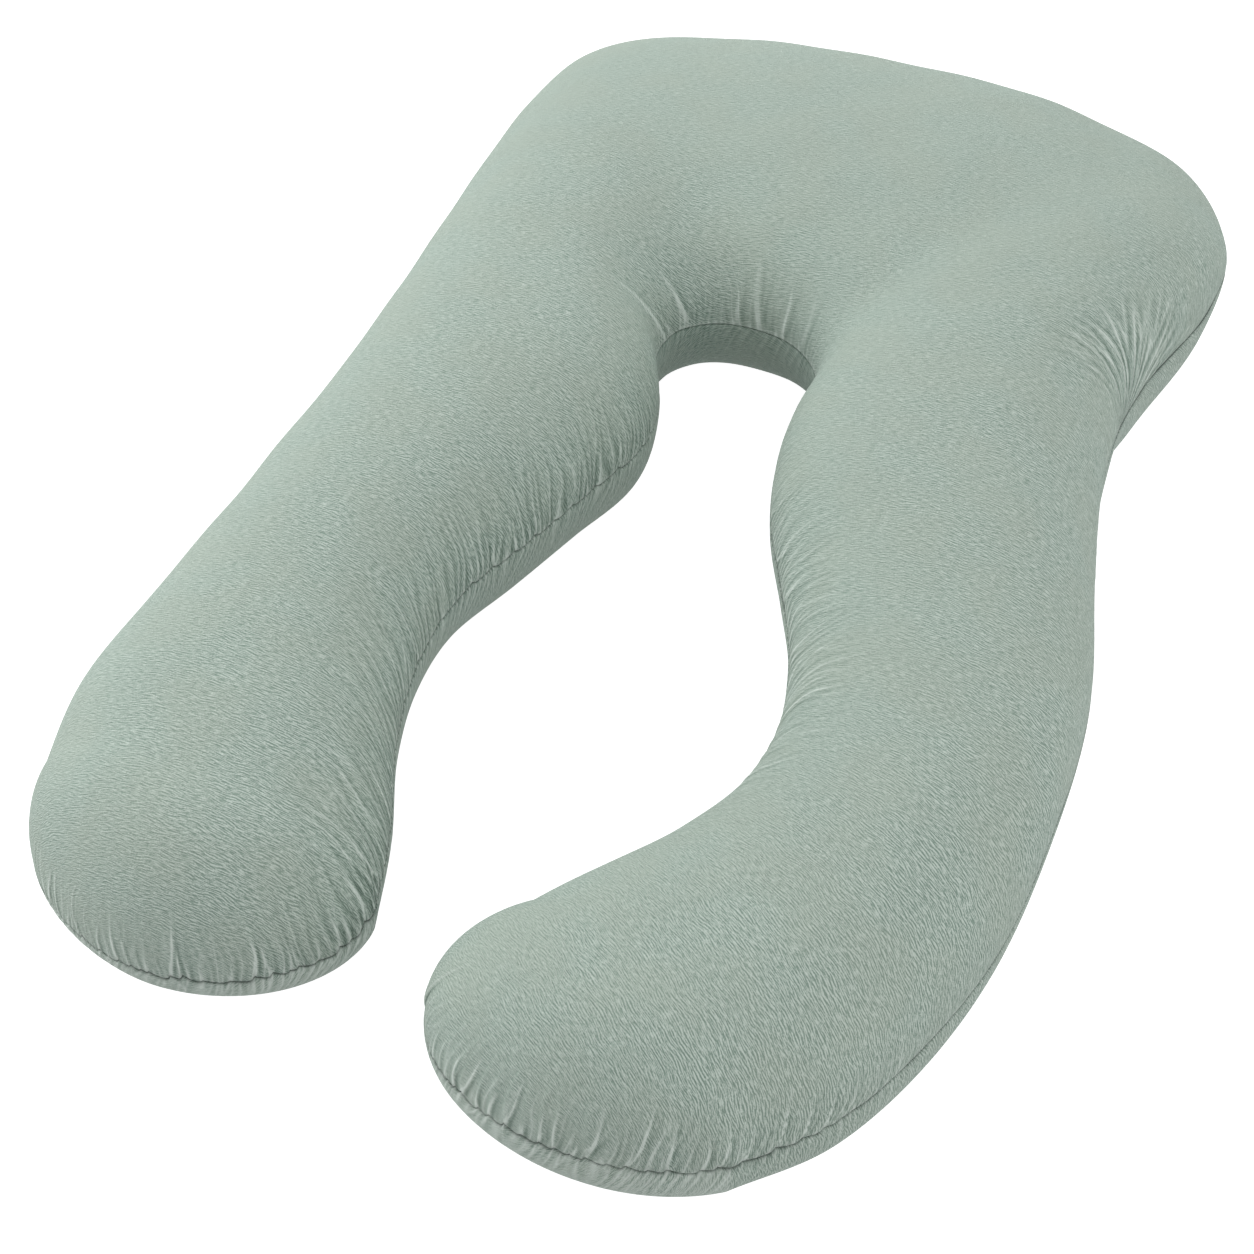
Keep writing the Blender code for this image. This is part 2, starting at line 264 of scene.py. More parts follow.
# The creases read off the photograph, each running in from the seam over the upper panel.
# Sides are 0 outer, 1 right cap, 2 inner, 3 left cap. The place is an angle on a cap and a row number on a side.
# Start and length are up from the seam, the lean is how far the far end lies along the seam, in millimetres.
Crease = namedtuple("Crease", "side place start length lean height width")
CREASES = [
    # left leg's end, from its outer side to its inner side
    Crease(3, 44, 0, 66, 16, 0.8, 2.6),
    Crease(3, 49, 0, 62, 11, 0.9, 2.4),
    Crease(3, 52, 0, 66, -4, 1.8, 2.6),
    Crease(3, 58, 0, 66, 9, 1.6, 2.6),
    Crease(3, 63, 0, 50, -3, 1.5, 2.4),
    Crease(3, 69.5, 0, 76, 5, 1.9, 2.6),
    Crease(3, 77, 0, 56, -6, 1.3, 2.4),
    Crease(3, 84.4, 0, 70, 5, 1.9, 2.6),
    Crease(3, 89, 0, 60, 9, 1.7, 2.4),
    Crease(3, 93.5, 0, 42, 2, 1.1, 2.4),
    Crease(3, 96.5, 0, 30, 2, 1.2, 2.2),
    Crease(3, 104, 0, 76, -7, 2.4, 2.6),
    Crease(3, 108, 0, 52, 3, 2.8, 2.4),
    Crease(3, 114, 0, 36, -2, 1.0, 2.4),
    Crease(3, 122, 0, 34, -3, 1.0, 2.4),
    Crease(3, 129.5, 0, 62, -5, 2.4, 2.6),
    Crease(3, 135, 0, 44, 3, 2.6, 2.4),
    Crease(3, 140.5, 0, 32, -2, 1.4, 2.2),
    Crease(3, 143.5, 0, 42, 0, 1.8, 2.4),
    Crease(3, 150, 0, 30, -2, 1.2, 2.4),
    Crease(3, 158.7, 0, 54, -4, 2.4, 2.6),
    Crease(3, 164, 0, 44, -2, 1.8, 2.4),
    Crease(3, 169.8, 0, 46, -2, 2.2, 2.4),
    Crease(3, 172, 0, 60, -12, 2.8, 2.6),
    Crease(3, 174.5, 8, 72, 0, 1.8, 2.4),
    Crease(2, 0.03, 0, 70, 6, 1.6, 2.4),
    Crease(2, 0.20, 0, 104, 12, 2.4, 2.6),
    Crease(2, 0.33, 0, 64, 6, 1.8, 2.4),
    Crease(2, 0.45, 0, 72, 4, 2.4, 2.6),
    Crease(2, 0.58, 0, 76, -4, 2.0, 2.4),
    Crease(2, 0.77, 0, 60, -13, 1.8, 2.6),
    Crease(2, 0.99, 0, 56, -20, 1.6, 2.4),
    Crease(2, 1.36, 0, 50, -24, 1.4, 2.4),
    # inner side of the left leg, which bulges towards the other leg
    Crease(2, 2.5, 0, 62, -8, 1.2, 2.8),
    Crease(2, 3.0, 0, 56, -6, 1.3, 2.8),
    Crease(2, 3.6, 0, 50, -8, 1.1, 2.8),
    Crease(2, 4.2, 0, 54, -9, 1.5, 2.6),
    Crease(2, 4.5, 0, 60, -10, 1.6, 2.6),
    Crease(2, 4.8, 0, 56, -10, 1.4, 2.6),
    Crease(2, 5.1, 0, 54, -11, 1.6, 2.6),
    Crease(2, 5.4, 0, 58, -12, 1.3, 2.6),
    Crease(2, 5.7, 0, 54, -12, 1.3, 2.6),
    Crease(2, 6.1, 0, 62, -13, 1.4, 2.8),
    Crease(2, 6.5, 0, 64, -14, 1.4, 2.8),
    Crease(2, 7.0, 0, 60, -14, 1.6, 2.8),
    Crease(2, 7.3, 0, 58, -14, 1.2, 2.8),
    # right leg's end, from its inner side to its outer side
    Crease(1, 108, 0, 44, 3, 0.9, 2.8),
    Crease(1, 98.4, 0, 46, 3, 1.6, 2.8),
    Crease(1, 93, 0, 54, 3, 1.7, 2.6),
    Crease(1, 88, 0, 44, 0, 1.6, 2.4),
    Crease(1, 84, 0, 64, 0, 2.4, 2.6),
    Crease(1, 81, 0, 70, -5, 2.4, 2.6),
    Crease(1, 74, 0, 50, 0, 2.0, 2.6),
    Crease(1, 69.8, 0, 50, -7, 2.0, 2.6),
    Crease(1, 64.5, 0, 70, -5, 2.6, 2.6),
    Crease(1, 59, 0, 40, -2, 1.4, 2.4),
    Crease(1, 53.7, 0, 58, 0, 2.0, 2.6),
    Crease(1, 49.3, 0, 58, -2, 1.9, 2.6),
    Crease(1, 45, 0, 40, -4, 1.2, 2.4),
    Crease(1, 40.7, 0, 66, -15, 2.3, 2.8),
    Crease(1, 35, 0, 52, -12, 1.6, 2.6),
    Crease(1, 30, 0, 82, -33, 2.2, 2.8),
    Crease(1, 24, 0, 50, -16, 1.4, 2.6),
    Crease(1, 19, 0, 72, -21, 2.2, 2.8),
    Crease(1, 9.5, 0, 50, -12, 1.8, 2.6),
    Crease(1, 4.5, 0, 60, -19, 2.0, 2.6),
    Crease(0, 26.9, 0, 50, -18, 1.4, 2.6),
    Crease(0, 26.6, 0, 66, -27, 2.4, 2.6),
    Crease(0, 26.35, 0, 56, -23, 2.1, 2.6),
    Crease(0, 26.14, 0, 46, -15, 1.9, 2.4),
    Crease(0, 25.98, 0, 34, -10, 1.5, 2.4),
    Crease(0, 25.87, 0, 26, -5, 1.3, 2.4),
    # inner side of the right leg, drawn together where it curls
    Crease(2, 19.9, 0, 76, -21, 1.2, 2.8),
    Crease(2, 20.6, 0, 80, -11, 1.4, 3.0),
    Crease(2, 21.25, 0, 88, -8, 1.5, 3.2),
    Crease(2, 21.9, 0, 94, 4, 1.6, 3.2),
    Crease(2, 22.3, 0, 90, 6, 1.3, 3.2),
    Crease(2, 22.6, 0, 104, 9, 1.7, 3.4),
    Crease(2, 22.9, 0, 100, 15, 1.4, 3.2),
    Crease(2, 23.1, 0, 118, 23, 1.8, 3.4),
    Crease(2, 23.35, 0, 104, 20, 1.3, 3.2),
    Crease(2, 23.6, 0, 134, 20, 1.7, 3.4),
    Crease(2, 24.0, 0, 130, 15, 1.3, 3.4),
    # neck, from the left leg to the right one
    Crease(2, 9.7, 6, 165, 85, 2.0, 4.4),
    Crease(2, 10.0, 8, 84, 54, 1.3, 4.2),
    Crease(2, 10.5, 6, 104, 36, 1.5, 4.8),
    Crease(2, 10.8, 6, 74, 30, 1.1, 4.4),
    Crease(2, 12.1, 4, 66, -10, 0.8, 6.0),
    Crease(2, 12.9, 6, 94, 0, 0.9, 6.5),
    Crease(2, 13.6, 6, 84, 0, 0.9, 6.0),
    Crease(2, 14.5, 6, 84, 0, 0.8, 6.0),
    # a few short ones on the outer side of the left leg, below the head
    Crease(0, 6.6, 0, 60, -12, 0.9, 3.2),
    Crease(0, 7.3, 0, 74, -16, 1.1, 3.2),
    Crease(0, 8.1, 0, 66, -12, 0.9, 3.2),
]
# One deep fold at the right leg's end, where the cloth of the inner side hangs over the rest.
OVERHANG = Crease(1, 122, 0, 96, 3, 2.4, 1.3)
# The cover is drawn in sharply below the head's right corner: row number, how far the seam and the underside go,
# and how wide.
Pinch = namedtuple("Pinch", "place depth below width")
PINCH = Pinch(19.42, 1.5, 9.5, 42.0)
# Where the seam is drawn up over a longer stretch: side, row number, millimetres and how many rows wide.
Lift = namedtuple("Lift", "side place height width")
LIFTS = [Lift(0, 17.6, 9, 0.45), Lift(0, 23.1, 11, 0.5)]

# Each crease and each small gather draws the seam up into a notch: how far for each millimetre of its height, how far
# the notch runs out along the seam on its gentle and its steep side, and over what length it is evened out.
CREASE_DRAW = 3.4
BAND_DRAW = 0.2
NOTCH_GENTLE = 7.0
NOTCH_STEEP = 1.4
NOTCH_EVENED = 30
# How far from the seam a notch is felt, up over the caps, up over the sides and down the under panel.
NOTCH_UP_CAP = 48.0
NOTCH_UP_SIDE = 18.0
NOTCH_DOWN = 12
# How much of the creases' drawn height goes into the form of the two panels, and how high the uneven filling rises.
UPPER_CREASES = 0.36
UNDER_CREASES = 0.15
LUMP_HEIGHT = 0.9
LUMP_WAVES = 14
LUMP_LENGTHS = (70, 210)
# How far the far ends of the small gathers stray along the seam, on the two panels.
UPPER_LEAN = 5
UNDER_LEAN = 16
# How wide the seam's line of painted shadow is drawn on the two panels, and how it thickens and thins along the seam.
SEAM_WIDE_UPPER = 3.2
SEAM_WIDE_UNDER = 3.4
SEAM_SHADOW_STEP = 22
SEAM_SHADOW_SHARES = (0.75, 1.2)

SEED = 7
# How the fine gathers change along the seam: side and place, how strong they are, how far up they reach in
# millimetres, how much they lean for each millimetre up, and how dark the seam's line of painted shadow is drawn.
Gather = namedtuple("Gather", "side place strength reach lean seam")
GATHERS = [
    Gather(0, 0, 0.8, 60, -0.2, 1.0),
    Gather(0, 2, 0.5, 50, -0.2, 1.0),
    Gather(0, 5, 0.2, 50, -0.2, 1.0),
    Gather(0, 8, 0.3, 70, -0.2, 1.0),
    Gather(0, 11, 0.0, 50, 0.0, 1.0),
    Gather(0, 16, 0.1, 60, 0.0, 1.0),
    Gather(0, 17.2, 0.2, 80, -0.2, 1.4),
    Gather(0, 18, 0.3, 80, -0.3, 1.5),
    Gather(0, 19, 0.3, 100, -0.6, 1.2),
    Gather(0, 21, 0.4, 100, -0.4, 1.0),
    Gather(0, 24, 0.3, 60, -0.3, 0.9),
    Gather(0, 26, 0.8, 50, -0.4, 0.9),
    Gather(1, 20, 0.8, 70, -0.4, 1.0),
    Gather(1, 60, 0.75, 60, -0.1, 1.0),
    Gather(1, 100, 0.75, 60, 0.0, 1.0),
    Gather(1, 150, 0.4, 60, 0.0, 1.0),
    Gather(2, 25, 0.7, 90, 0.1, 1.0),
    Gather(2, 23, 1.0, 110, 0.2, 1.0),
    Gather(2, 21, 1.0, 90, 0.0, 1.0),
    Gather(2, 18.5, 0.6, 60, -0.2, 0.7),
    Gather(2, 16, 0.35, 60, 0.0, 0.35),
    Gather(2, 13, 0.4, 90, 0.0, 0.15),
    Gather(2, 10.5, 0.45, 100, 0.1, 0.15),
    Gather(2, 9, 0.45, 80, 0.0, 0.3),
    Gather(2, 7, 1.0, 80, -0.3, 0.45),
    Gather(2, 4, 1.0, 90, -0.3, 0.45),
    Gather(2, 2, 1.15, 110, -0.3, 0.6),
    Gather(2, 0.3, 1.2, 120, -0.2, 1.0),
    Gather(3, 165, 1.0, 90, -0.05, 1.0),
    Gather(3, 130, 0.7, 55, 0.0, 1.0),
    Gather(3, 80, 0.7, 55, 0.0, 1.0),
    Gather(3, 40, 0.75, 60, 0.1, 1.0),
]
# Side and place where the fan of fine folds at the pinch meets the seam, and where the gathers' coordinates start.
FAN_AT = (0, 19.64)
GATHERS_START = (0, 11)
# How far below the seam the fan's folds would meet, and how far they reach, in millimetres.
FAN_BELOW = 14
FAN_REACH = 230

# Small gathers all round the seam, over the upper and the under panel: from which place to which, the gap between
# them, the longest, the highest and the width.
Band = namedtuple("Band", "side start end gap length height width")
UPPER_BANDS = [
    Band(3, 0, 180, 10, 46, 0.8, 2.6),
    Band(1, 0, 180, 10, 42, 0.8, 2.6),
    Band(2, 0, 6.5, 12, 70, 0.7, 2.8),
    Band(2, 6.5, 9.5, 14, 50, 0.5, 2.8),
    Band(2, 9.5, 16.5, 9, 60, 0.4, 3.6),
    Band(2, 16.5, 21, 14, 60, 0.5, 2.8),
    Band(2, 21, 27, 11, 80, 0.8, 2.8),
    Band(0, 0, 2.5, 14, 50, 0.8, 2.8),
    Band(0, 2.5, 17, 26, 50, 0.6, 3.0),
    Band(0, 17, 19.2, 10, 90, 0.6, 2.8),
    Band(0, 19.2, 21, 9, 110, 0.7, 3.0),
    Band(0, 21, 25.5, 20, 45, 0.5, 3.0),
    Band(0, 25.5, 27, 11, 40, 0.8, 2.8),
]
UNDER_BANDS = [
    Band(3, 0, 180, 12, 34, 0.8, 2.6),
    Band(1, 0, 180, 12, 34, 0.8, 2.6),
    Band(2, 0, 27, 11, 60, 0.5, 2.8),
    Band(0, 0, 27, 20, 40, 0.8, 2.8),
]


def band_creases(bands, rng, ring, lean):
    """The small gathers of the bands, unevenly spaced and each a little different."""
    made = []
    for band in bands:
        here = ring["side"] == band.side
        order = np.argsort(ring["place"][here], kind="stable")
        places = ring["place"][here][order]
        far = ring["far"][here][order]
        low, high = np.interp([band.start, band.end], places, far)
        step = band.gap * (1 if high > low else -1)
        spot = low + step * rng.uniform(0.3, 1.0)
        while (spot - low) * (spot - high) < 0:
            inside = far[0] < far[-1]
            place = np.interp(spot, far if inside else far[::-1], places if inside else places[::-1])
            size = rng.uniform(0.35, 1.0)
            made.append(
                Crease(
                    band.side,
                    place,
                    0,
                    band.length * rng.uniform(0.4, 1.0),
                    rng.normal(0, lean),
                    band.height * size,
                    band.width * rng.uniform(0.8, 1.25),
                )
            )
            spot += step * rng.uniform(0.55, 1.45)
    return made


def seam_spot(ring, side, place):
    """How far round the loop this place on the seam lies."""
    here = ring["side"] == side
    order = np.argsort(ring["place"][here], kind="stable")
    return float(np.interp(place, ring["place"][here][order], ring["far"][here][order]))


def off_the_spot(ring, side, place):
    """How far along the seam each spoke lies from this place, the shorter way round."""
    return round_the_loop(ring["far"] - seam_spot(ring, side, place), ring["around"])


def round_the_loop(gap, around):
    """The gap taken the shorter way round."""
    return (gap + around / 2) % around - around / 2


def shadow_side(crease):
    """Which way along the seam lies the side of a crease that the light from the left leaves dark."""
    return 1 if crease.side == 2 and crease.place < 9 else -1


def hollow(gap, wide):
    """A hollow that starts at nought, is deepest at this distance and runs out slowly."""
    t = np.clip(gap / wide, 0, 12)
    return t * np.exp(1 - t)


def crease_field(ring, creases, up, wide, rng):
    """How far all the creases move the cloth off its smooth form at every point, and the light and shade painted on
    it.

    A crease is a ridge with a wide hollow on its shadow side and a narrow one on the other. It fades out along its
    length, narrows a little and bows. Its crest is painted paler as a highlight and its trough darker as painted
    shade.
    """
    field = np.zeros(up.shape)
    shade = np.zeros(up.shape)
    for crease in creases:
        off = off_the_spot(ring, crease.side, crease.place)
        near = np.abs(off) < abs(crease.lean) * 1.3 + 12 * crease.width + 30
        t = up[near] / crease.length
        bow = rng.normal(0, 0.045) * crease.length * np.sin(math.pi * np.clip(t, 0, 1))
        aside = (off[near][:, None] - crease.lean * np.clip(t, 0, 1.3)) * wide[near] + bow
        aside = aside * shadow_side(crease)
        width = crease.width * (1.0 - 0.25 * np.clip(t, 0, 1))
        fade = np.clip(1 - t, 0, 1)
        fade = fade * (2 - fade) * fade**0.5
        if crease.start:
            fade = fade * np.clip((up[near] - crease.start) / 12 + 0.35, 0.35, 1)
        ridge = np.exp(-((aside / width) ** 2))
        dark = hollow(aside - 0.5 * width, 0.75 * width)
        left = hollow(-aside - 0.5 * width, 0.5 * width)
        field[near] += crease.height * fade * (ridge - 0.6 * dark - 0.3 * left)
        # painted highlight on the crest and painted shade in the trough beside it
        strong = np.clip(0.7 * crease.height * fade, 0, 1)
        crest = np.exp(-((aside / (0.5 * width)) ** 2))
        trough = np.exp(-(((aside - 1.1 * width) / (0.55 * width)) ** 2))
        trough += 0.14 * hollow(aside - 0.8 * width, 1.2 * width)
        shade[near] += strong * (2.5 * crest - 1.5 * trough)
    return field, shade


def overhang(ring, crease, up, wide):
    """The deep crease: cloth on its far side hangs a little over the cloth beside it, with a painted shadow in the
    gap between.
    """
    off = off_the_spot(ring, crease.side, crease.place)
    t = up / crease.length
    aside = (off[:, None] - crease.lean * np.clip(t, 0, 1.2)) * wide + 4 * np.sin(math.pi * np.clip(t, 0, 1))
    fade = np.clip(1 - t, 0, 1) ** 0.6
    over = 1 / (1 + np.exp(np.clip(-aside / 1.2, -40, 40)))
    lip = 0.6 * np.exp(-np.abs(aside) / 12) * over
    below = np.exp(-np.abs(aside) / 6) * (1 - over)
    field = crease.height * fade * (lip - below)
    # painted shadow in the gap under the overhang, and a painted highlight on its crest
    gap = np.exp(-(((aside + 2.2) / 1.9) ** 2)) * np.clip(1.5 - 2 * t, 0.15, 1)
    crest = np.exp(-(((aside - 1.0) / 1.5) ** 2))
    return field, fade * (1.8 * crest - 4.5 * gap)


def lumps(points, rng):
    """The uneven filling under the cloth, as a sum of long soft waves over the plan."""
    flat = points[..., :2]
    total = np.zeros(points.shape[:2])
    for _ in range(LUMP_WAVES):
        turn = rng.uniform(0, 2 * math.pi)
        length = rng.uniform(*LUMP_LENGTHS)
        way = np.array([math.cos(turn), math.sin(turn)]) * 2 * math.pi / length
        total += np.sin(flat @ way + rng.uniform(0, 2 * math.pi)) * length / np.mean(LUMP_LENGTHS)
    return total * LUMP_HEIGHT / math.sqrt(LUMP_WAVES)


def up_from_seam(points, seam_first):
    """How far each point lies from the seam along its spoke."""
    steps = np.linalg.norm(np.diff(points, axis=1), axis=2)
    zero = np.zeros((len(points), 1))
    if seam_first:
        return np.concatenate([zero, np.cumsum(steps, axis=1)], axis=1)
    return np.concatenate([np.cumsum(steps[:, ::-1], axis=1)[:, ::-1], zero], axis=1)


def closeness(points, seam_column):
    """How near the spokes lie to each other at each point, against the seam."""
    side = np.linalg.norm(np.roll(points, -1, axis=0) - np.roll(points, 1, axis=0), axis=2)
    return side / side[:, seam_column][:, None]


def outward_normals(points, upward):
    """Which way the smooth panel faces at each point."""
    a = np.roll(points, -1, axis=0) - np.roll(points, 1, axis=0)
    b = np.gradient(points, axis=1)
    n = np.cross(a, b)
    n /= np.maximum(np.linalg.norm(n, axis=2, keepdims=True), 1e-9)
    middle = n[:, points.shape[1] // 2]
    sign = np.sign(np.mean(middle[:, 2])) * (1 if upward else -1)
    return n * sign


def turned(angle, vectors):
    """The flat vectors, each turned by its angle."""
    c, s = np.cos(angle), np.sin(angle)
    return np.stack([c * vectors[:, 0] - s * vectors[:, 1], s * vectors[:, 0] + c * vectors[:, 1]], axis=1)


# How far the knit's rows turn from straight across, in degrees, by row number: the right leg's cloth bends with it.
GRAIN = [(0, 0), (20, 0), (22, -4), (23, -12), (24, -22), (25, -30), (26, -35), (27, -37)]


def grain_frames(ring):
    """For each spoke the cloth's turn and where its middle lies on the flat cloth."""
    places = np.linspace(0, len(ROWS) - 1, 2001)
    ribs = ribs_at(places)
    middles = (ribs[:, 0:2] + ribs[:, 2:4]) / 2
    table = np.array(GRAIN, float)
    turn = np.radians(np.interp(places, table[:, 0], table[:, 1]))
    steps = turned(-(turn[1:] + turn[:-1]) / 2, np.diff(middles, axis=0))
    laid = np.vstack([middles[:1], middles[:1] + np.cumsum(steps, axis=0)])
    place = np.where(ring["side"] == 1, len(ROWS) - 1, np.where(ring["side"] == 3, 0, ring["place"]))
    return (
        np.interp(place, places, turn),
        np.stack([np.interp(place, places, laid[:, 0]), np.interp(place, places, laid[:, 1])], axis=1),
    )


def cloth_coordinates(ring, points, seam_first):
    """Where each point lies on the flat cloth, in metres, with u along the knit's rows."""
    turn, laid = grain_frames(ring)
    steps = np.linalg.norm(np.diff(points, axis=1), axis=2)
    zero = np.zeros((len(points), 1))
    if seam_first:
        length = np.concatenate([np.cumsum(steps[:, ::-1], axis=1)[:, ::-1], zero], axis=1)
    else:
        length = np.concatenate([zero, np.cumsum(steps, axis=1)], axis=1)
    way = turned(-turn, outward(ring))
    return (laid[:, None, :] + way[:, None, :] * length[:, :, None]) * MM


def shared_middle(ring):
    """The spoke that owns each spoke's innermost point, which the outer and inner sides and the caps share."""
    outer = np.flatnonzero(ring["side"] == 0)
    inner = np.flatnonzero(ring["side"] == 2)
    owner = np.arange(len(ring["side"]))
    owner[inner] = outer[::-1]
    owner[ring["side"] == 1] = outer[-1]
    owner[ring["side"] == 3] = outer[0]
    return owner


def panel(name, points, maps, owner, middle_column, shades):
    """A mesh of one panel of the cover, with its cloth coordinates and the numbers that shade seam and folds."""
    count, rings = points.shape[:2]
    index = np.arange(count * rings).reshape(count, rings)
    index[:, middle_column] = index[owner, middle_column]
    nxt = np.roll(index, -1, axis=0)
    quads = np.stack([index[:, :-1], nxt[:, :-1], nxt[:, 1:], index[:, 1:]], axis=-1).reshape(-1, 4)
    used, compact = np.unique(quads, return_inverse=True)
    quads = compact.reshape(quads.shape)
    faces = [tuple(dict.fromkeys(quad)) for quad in quads.tolist()]
    faces = [face for face in faces if len(face) > 2]
    mesh = bpy.data.meshes.new(name)
    mesh.from_pydata((points.reshape(-1, 3)[used] * MM).tolist(), [], faces)
    corner = np.empty(len(mesh.loops), np.int32)
    mesh.loops.foreach_get("vertex_index", corner)
    for key, flat in maps.items():
        layer = mesh.uv_layers.new(name=key)
        layer.data.foreach_set("uv", flat.reshape(-1, 2)[used][corner].astype(np.float32).ravel())
    for key, shade in shades.items():
        tint = mesh.attributes.new(key, "FLOAT", "POINT")
        tint.data.foreach_set("value", shade.reshape(-1)[used].astype(np.float32))
    mesh.shade_smooth()
    mesh.update()
    piece = bpy.data.objects.new(name, mesh)
    bpy.context.scene.collection.objects.link(piece)
    return piece


def pinched(ring):
    """Draws the seam in where the table says so, and the underside with it."""
    gap = off_the_spot(ring, 0, PINCH.place) / PINCH.width
    near = np.exp(-(gap**2)) * (ring["side"] == 0)
    ring["seam"] = ring["seam"] - outward(ring) * (PINCH.depth * near)[:, None]
    ring["roll"] = ring["roll"] - PINCH.below * near


def gather_values(ring):
    """The table of gathers, spread over every spoke."""
    spots = np.array([seam_spot(ring, row.side, row.place) for row in GATHERS])
    order = np.argsort(spots)
    values = np.array([(row.strength, row.reach, row.lean, row.seam) for row in GATHERS])[order]
    spots = spots[order]
    spots = np.concatenate([[spots[-1] - ring["around"]], spots, [spots[0] + ring["around"]]])
    values = np.vstack([values[-1:], values, values[:1]])
    return [np.interp(ring["far"], spots, values[:, column]) for column in range(4)]


def gather_coordinates(ring, up, lean):
    """Metres along the seam, leaning with the gathers, and metres up from it."""
    start = seam_spot(ring, *GATHERS_START)
    along = np.mod(ring["far"] - start, ring["around"])[:, None] - lean[:, None] * up
    return np.stack([along, up], axis=2) * MM


def fan_coordinates(ring, up, wide):
    """Turn and distance about the place where the fan meets, and how strong the fan is there."""
    off = off_the_spot(ring, *FAN_AT)[:, None] * wide
    distance = np.hypot(off, up + FAN_BELOW)
    turn = np.arctan2(off, up + FAN_BELOW) - 0.0006 * distance
    strength = np.clip((distance - 12) / 16, 0, 1) * np.clip((FAN_REACH - distance) / 140, 0, 1)
    strength = strength * np.clip((turn + 1.6) / 0.2, 0, 1) * np.clip((-0.2 - turn) / 0.4, 0, 1)
    strength = strength * (ring["side"] == 0)[:, None]
    return np.stack([turn * 0.060, distance * MM], axis=2), strength


def evened(ring, values, width):
    """The values smoothed along the seam."""
    far = ring["far"]
    share = np.mod(np.roll(far, -1) - np.roll(far, 1), ring["around"])
    gap = round_the_loop(far[:, None] - far[None, :], ring["around"])
    weight = np.exp(-((gap / width) ** 2)) * share[None, :]
    return weight @ values / weight.sum(axis=1)


def lifted(ring):
    """How far the seam is drawn up over longer stretches."""
    total = np.zeros(len(ring["far"]))
    for lift in LIFTS:
        near = np.exp(-(((ring["place"] - lift.place) / lift.width) ** 2))
        total += lift.height * near * (ring["side"] == lift.side)
    return total


def notches(ring, creases):
    """How far the creases draw the seam up, evened out so that the seam as a whole keeps its height."""
    total = np.zeros(len(ring["far"]))
    for number, crease in enumerate(creases):
        if crease.start == 0:
            gap = off_the_spot(ring, crease.side, crease.place) * shadow_side(crease)
            drawn_up = CREASE_DRAW if number < len(CREASES) else BAND_DRAW
            total += drawn_up * crease.height * np.exp(-np.abs(gap) / np.where(gap > 0, NOTCH_GENTLE, NOTCH_STEEP))
    return total - evened(ring, total, NOTCH_EVENED)


def seam_thickness(ring, rng):
    """How thick the seam's line of painted shadow is along the loop, as a share of its usual width."""
    spots = np.arange(0, ring["around"], SEAM_SHADOW_STEP)
    return np.interp(ring["far"], spots, rng.uniform(*SEAM_SHADOW_SHARES, len(spots)), period=ring["around"])


def on_caps(ring):
    return ring["side"] % 2 == 1


def near_inner_left(ring):
    """1 along the left leg's inner side and the inner half of its end, and 0 elsewhere."""
    on_side = (ring["side"] == 2) * np.clip((9.5 - ring["place"]) / 2, 0, 1)
    return on_side + (ring["side"] == 3) * np.clip((ring["place"] - 115) / 60, 0, 1)


def painted_upper_shading(ring, up, shade, deep_shade, seam_painted_shadow):
    """Painted light and shade on the upper panel: creases, the edge above the seam, the leg ends, the left inner
    side.
    """
    tint = np.where(shade < 0, 1.5 * np.tanh(shade / 1.5), shade) + deep_shade
    # painted highlight on the edge just above the seam, fainter where the seam's painted shadow is darker
    tint += (1.9 - 1.2 * seam_painted_shadow)[:, None] * np.exp(-(((up - 5.5) / 1.6) ** 2))
    inner_left = near_inner_left(ring)
    leg_end = np.clip(np.where(on_caps(ring), 1, 0) - inner_left, 0, 1)
    # painted light near the seam on the legs' ends, painted shade near it on the left leg's inner side
    return tint + (0.15 * leg_end - 0.4 * inner_left)[:, None] * np.exp(-((up / 60) ** 2))


def knit_contrast_by_light_at(points, normals):
    """How strongly the knit shows: painted stronger facing right, towards the low light, least on the far part of the
    head.
    """
    return 0.75 + 0.7 * np.clip(normals[..., 0], -0.4, 0.9) - 0.32 * np.clip((points[..., 1] - 150) / 250, 0, 1)


def build_upper(ring, rng, creases, notch, thickness, gathers):
    """The upper panel, crowned and uneven, with its creases running in from the notches of the seam."""
    strength, reach, lean, seam_painted_shadow = gathers
    points = place_points(ring, *top_profile(ring))
    up = up_from_seam(points, False)
    wide = closeness(points, -1)
    felt = evened(ring, np.where(on_caps(ring), NOTCH_UP_CAP, NOTCH_UP_SIDE), NOTCH_EVENED)
    points[..., 2] += notch[:, None] * np.exp(-((up / felt[:, None]) ** 2))
    field, shade = crease_field(ring, creases, up, wide, rng)
    deep, deep_shade = overhang(ring, OVERHANG, up, wide)
    field = (UPPER_CREASES * field + deep) * np.clip((up - 1) / 6, 0, 1)
    field += lumps(points, rng) * np.clip(up / 60, 0, 1)
    normals = outward_normals(points, True)
    fan, fan_strength = fan_coordinates(ring, up, wide)
    maps = dict(
        cloth=cloth_coordinates(ring, points, False),
        gather=gather_coordinates(ring, up, lean),
        fan=fan,
    )
    shades = dict(
        # the seam's dark line: painted shadow of the groove
        seam=seam_painted_shadow[:, None] * np.exp(-((up / (SEAM_WIDE_UPPER * thickness[:, None])) ** 2)),
        fold=painted_upper_shading(ring, up, shade, deep_shade, seam_painted_shadow),
        gathered=strength[:, None] * np.clip(1 - up / (1.3 * reach[:, None]), 0, 1),
        fanned=fan_strength,
        relief=knit_contrast_by_light_at(points, normals),
    )
    return panel("cover_upper", points + normals * field[..., None], maps, shared_middle(ring), 0, shades)


